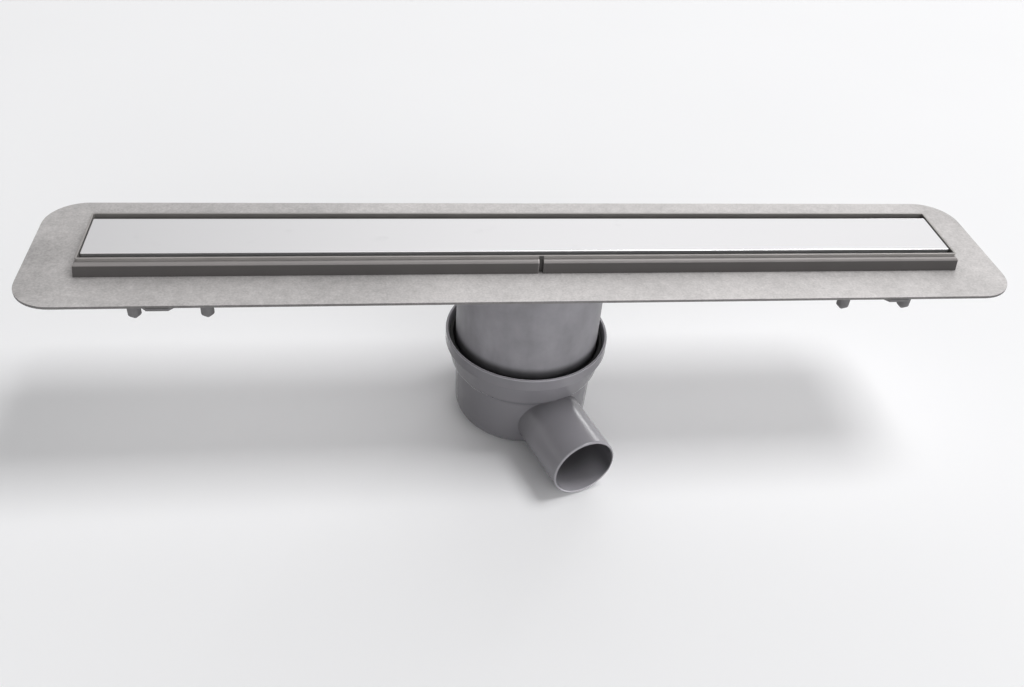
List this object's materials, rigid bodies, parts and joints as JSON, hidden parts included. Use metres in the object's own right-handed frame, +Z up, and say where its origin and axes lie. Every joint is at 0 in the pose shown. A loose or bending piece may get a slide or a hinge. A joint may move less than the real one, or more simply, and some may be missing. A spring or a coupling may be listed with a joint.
{
  "type": "linear shower drain",
  "caption": "Linear shower drain: narrow folded steel channel with a bonding flange and a bright drop-in cover, over a push-fit trap pot with a side outlet.",
  "frame": {"origin": "on the trap pot's axis, on the flat base that it stands on", "axes": "+X along the channel, +Y across it away from the outlet side, +Z up towards the cover"},
  "size_m": [0.7, 0.1732, 0.1652],
  "materials": {
    "pickled_steel": "pickled and blasted stainless sheet, matt warm grey",
    "mirror_steel": "mirror-polished stainless sheet",
    "satin_steel": "satin stainless strip",
    "stud_steel": "plain steel",
    "grey_moulding": "smooth satin grey polypropylene",
    "trap_moulding": "dark grey polypropylene",
    "black_rubber": "black seal rubber"
  },
  "bodies": {
    "channel": {"anchor_tab_front_left": "pickled_steel", "anchor_tab_front_right": "pickled_steel", "anchor_tab_rear_left": "pickled_steel", "anchor_tab_rear_right": "pickled_steel", "collar_nuts": "stud_steel", "collar_studs": "stud_steel", "collar_washers": "stud_steel", "cover_pads": "black_rubber", "cover_plate": "mirror_steel", "drain_collar": "grey_moulding", "edge_band_left": "satin_steel", "edge_band_right": "satin_steel", "flange_plate": "pickled_steel", "foot_studs_left": "stud_steel", "foot_studs_right": "stud_steel", "neck_seal": "black_rubber", "outlet_neck": "pickled_steel", "strainer": "satin_steel", "support_bridge_1": "pickled_steel", "support_bridge_2": "pickled_steel", "support_bridge_3": "pickled_steel", "support_bridge_4": "pickled_steel", "trap_cup": "trap_moulding", "trap_plug": "trap_moulding", "trap_tube": "trap_moulding", "trough": "pickled_steel", "trough_cap_left": "pickled_steel", "trough_cap_right": "pickled_steel", "tube_seal": "black_rubber"},
    "trap": {"trap_pot": "grey_moulding", "lip_seal": "black_rubber"}
  },
  "joints": [
    {"name": "trap_swivel", "type": "hinge", "parent": "channel", "child": "trap", "pos_m": [0, 0, 0], "axis": [0, 0, 1], "continuous": true}
  ]
}
